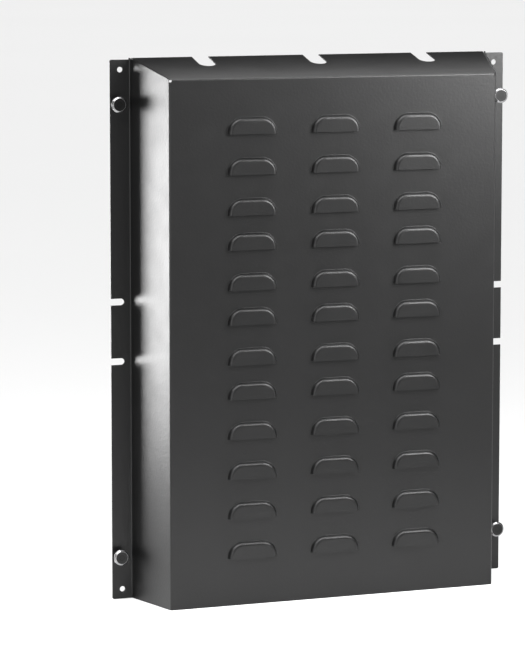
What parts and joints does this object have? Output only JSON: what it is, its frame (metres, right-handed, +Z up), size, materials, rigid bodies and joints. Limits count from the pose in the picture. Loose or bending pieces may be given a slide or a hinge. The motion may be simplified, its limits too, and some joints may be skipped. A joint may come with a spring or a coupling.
{
  "type": "extended rear panel",
  "caption": "Deep folded-sheet rear panel for an equipment cabinet, with pressed louvres, a sloped notched top, side flanges and captive thumb screws.",
  "frame": {"origin": "centre of the corner-hole pattern, on the back of the two flanges", "axes": "+Z up, +X to the right seen from outside, +Y from outside towards the frame that carries the panel"},
  "size_m": [0.543, 0.1083, 0.6906],
  "materials": {
    "powder_coat": "satin black powder coat",
    "screw_plating": "black nickel plate, polished rim, dull front",
    "nylon": "black nylon",
    "spring_steel": "oiled spring steel"
  },
  "bodies": {
    "panel": {"rear_panel": "powder_coat"},
    "washer_top_left": {"screw_washer_top_left": "nylon"},
    "screw_top_left": {"thumb_screw_top_left": "screw_plating", "retaining_ring_top_left": "spring_steel"},
    "washer_top_right": {"screw_washer_top_right": "nylon"},
    "screw_top_right": {"thumb_screw_top_right": "screw_plating", "retaining_ring_top_right": "spring_steel"},
    "washer_bottom_left": {"screw_washer_bottom_left": "nylon"},
    "screw_bottom_left": {"thumb_screw_bottom_left": "screw_plating", "retaining_ring_bottom_left": "spring_steel"},
    "washer_bottom_right": {"screw_washer_bottom_right": "nylon"},
    "screw_bottom_right": {"thumb_screw_bottom_right": "screw_plating", "retaining_ring_bottom_right": "spring_steel"}
  },
  "joints": [
    {"name": "top_left_pull", "type": "slide", "parent": "panel", "child": "washer_top_left", "axis": [0, -1, 0], "range_m": [0, 0.0069]},
    {"name": "top_left_turn", "type": "hinge", "parent": "washer_top_left", "child": "screw_top_left", "pos_m": [-0.2615, 0, 0.2885], "axis": [0, 1, 0], "continuous": true},
    {"name": "top_right_pull", "type": "slide", "parent": "panel", "child": "washer_top_right", "axis": [0, -1, 0], "range_m": [0, 0.0069]},
    {"name": "top_right_turn", "type": "hinge", "parent": "washer_top_right", "child": "screw_top_right", "pos_m": [0.2615, 0, 0.2885], "axis": [0, 1, 0], "continuous": true},
    {"name": "bottom_left_pull", "type": "slide", "parent": "panel", "child": "washer_bottom_left", "axis": [0, -1, 0], "range_m": [0, 0.0069]},
    {"name": "bottom_left_turn", "type": "hinge", "parent": "washer_bottom_left", "child": "screw_bottom_left", "pos_m": [-0.2615, 0, -0.2885], "axis": [0, 1, 0], "continuous": true},
    {"name": "bottom_right_pull", "type": "slide", "parent": "panel", "child": "washer_bottom_right", "axis": [0, -1, 0], "range_m": [0, 0.0069]},
    {"name": "bottom_right_turn", "type": "hinge", "parent": "washer_bottom_right", "child": "screw_bottom_right", "pos_m": [0.2615, 0, -0.2885], "axis": [0, 1, 0], "continuous": true}
  ]
}
